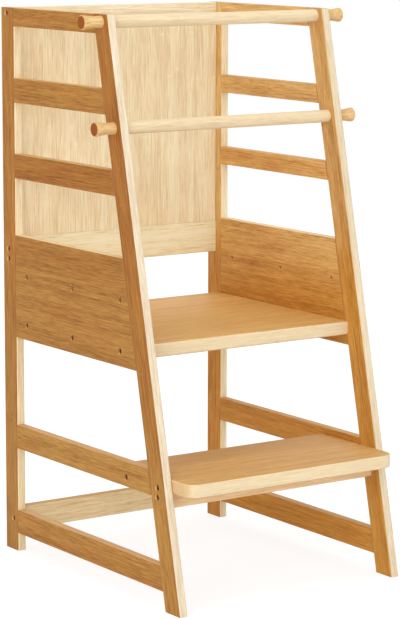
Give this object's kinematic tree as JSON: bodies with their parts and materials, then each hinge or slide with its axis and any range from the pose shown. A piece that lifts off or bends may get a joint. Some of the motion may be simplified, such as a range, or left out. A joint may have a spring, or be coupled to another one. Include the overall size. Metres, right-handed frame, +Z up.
{
  "type": "toddler kitchen helper stool",
  "caption": "Wooden kitchen helper stool: slanted side frames, closed back, bolt-on platform with a spare height, front step, and safety rods clamped by screw knobs.",
  "frame": {"origin": "on the floor, midway across and midway between the step's front edge and the rear legs' rear faces", "axes": "+X to the right seen from the front, +Y to the closed back, +Z up"},
  "size_m": [0.495, 0.5246, 0.9],
  "materials": {
    "frame_wood": "clear-lacquered bamboo, honey on the broad faces and paler on the front edges",
    "board_wood": "clear-lacquered bamboo boards, satin, grain across the stool",
    "back_wood": "pale clear-lacquered bamboo, upright grain in the panel",
    "rod_wood": "turned pale wood, satin",
    "knob_wood": "turned wood with a reddish-brown end-grain face",
    "dowel_wood": "plain beech, glued, hidden",
    "bolt_steel": "steel with a dull bronze plating",
    "nut_steel": "zinc-plated steel",
    "brass": "plain brass"
  },
  "bodies": {
    "frame": {"apron_barrel_nuts": "nut_steel", "apron_bolts": "bolt_steel", "apron_dowels": "dowel_wood", "back_barrel_nuts": "nut_steel", "back_bolts": "bolt_steel", "back_bottom_rail": "back_wood", "back_panel": "back_wood", "back_top_rail": "back_wood", "left_bottom_rail": "frame_wood", "left_front_leg": "frame_wood", "left_lower_rail": "frame_wood", "left_middle_slat": "frame_wood", "left_rear_leg": "frame_wood", "left_side_panel": "frame_wood", "left_top_rail": "frame_wood", "left_upper_slat": "frame_wood", "lower_rod": "rod_wood", "platform": "board_wood", "platform_barrel_nuts": "nut_steel", "platform_bolts": "bolt_steel", "rear_stretcher": "frame_wood", "right_bottom_rail": "frame_wood", "right_front_leg": "frame_wood", "right_lower_rail": "frame_wood", "right_middle_slat": "frame_wood", "right_rear_leg": "frame_wood", "right_side_panel": "frame_wood", "right_top_rail": "frame_wood", "right_upper_slat": "frame_wood", "rod_insert_nuts": "brass", "step_apron": "frame_wood", "step_barrel_nuts": "nut_steel", "step_board": "board_wood", "step_bolts": "bolt_steel", "stretcher_barrel_nuts": "nut_steel", "stretcher_bolts": "bolt_steel", "stretcher_dowels": "dowel_wood", "top_rod": "rod_wood"},
    "left_top_screw": {"left_top_stud": "bolt_steel"},
    "left_top_handle": {"left_top_knob": "knob_wood"},
    "right_top_screw": {"right_top_stud": "bolt_steel"},
    "right_top_handle": {"right_top_knob": "knob_wood"},
    "left_lower_screw": {"left_lower_stud": "bolt_steel"},
    "left_lower_handle": {"left_lower_knob": "knob_wood"},
    "right_lower_screw": {"right_lower_stud": "bolt_steel"},
    "right_lower_handle": {"right_lower_knob": "knob_wood"}
  },
  "joints": [
    {"name": "left_top_screw_travel", "type": "slide", "parent": "frame", "child": "left_top_screw", "axis": [-1, 0, 0], "range_m": [0, 0.015]},
    {"name": "left_top_knob_turn", "type": "hinge", "parent": "left_top_screw", "child": "left_top_handle", "pos_m": [-0.2125, -0.03984, 0.888], "axis": [-1, 0, 0], "range_deg": [0, 5400]},
    {"name": "right_top_screw_travel", "type": "slide", "parent": "frame", "child": "right_top_screw", "axis": [1, 0, 0], "range_m": [0, 0.015]},
    {"name": "right_top_knob_turn", "type": "hinge", "parent": "right_top_screw", "child": "right_top_handle", "pos_m": [0.2125, -0.03984, 0.888], "axis": [1, 0, 0], "range_deg": [0, 5400]},
    {"name": "left_lower_screw_travel", "type": "slide", "parent": "frame", "child": "left_lower_screw", "axis": [-1, 0, 0], "range_m": [0, 0.015]},
    {"name": "left_lower_knob_turn", "type": "hinge", "parent": "left_lower_screw", "child": "left_lower_handle", "pos_m": [-0.2125, -0.0754, 0.728], "axis": [-1, 0, 0], "range_deg": [0, 5400]},
    {"name": "right_lower_screw_travel", "type": "slide", "parent": "frame", "child": "right_lower_screw", "axis": [1, 0, 0], "range_m": [0, 0.015]},
    {"name": "right_lower_knob_turn", "type": "hinge", "parent": "right_lower_screw", "child": "right_lower_handle", "pos_m": [0.2125, -0.0754, 0.728], "axis": [1, 0, 0], "range_deg": [0, 5400]}
  ],
  "couplings": [
    {"joint": "left_top_screw_travel", "follows": "left_top_knob_turn", "m_per_rad": 0.00015915},
    {"joint": "right_top_screw_travel", "follows": "right_top_knob_turn", "m_per_rad": 0.00015915},
    {"joint": "left_lower_screw_travel", "follows": "left_lower_knob_turn", "m_per_rad": 0.00015915},
    {"joint": "right_lower_screw_travel", "follows": "right_lower_knob_turn", "m_per_rad": 0.00015915}
  ]
}
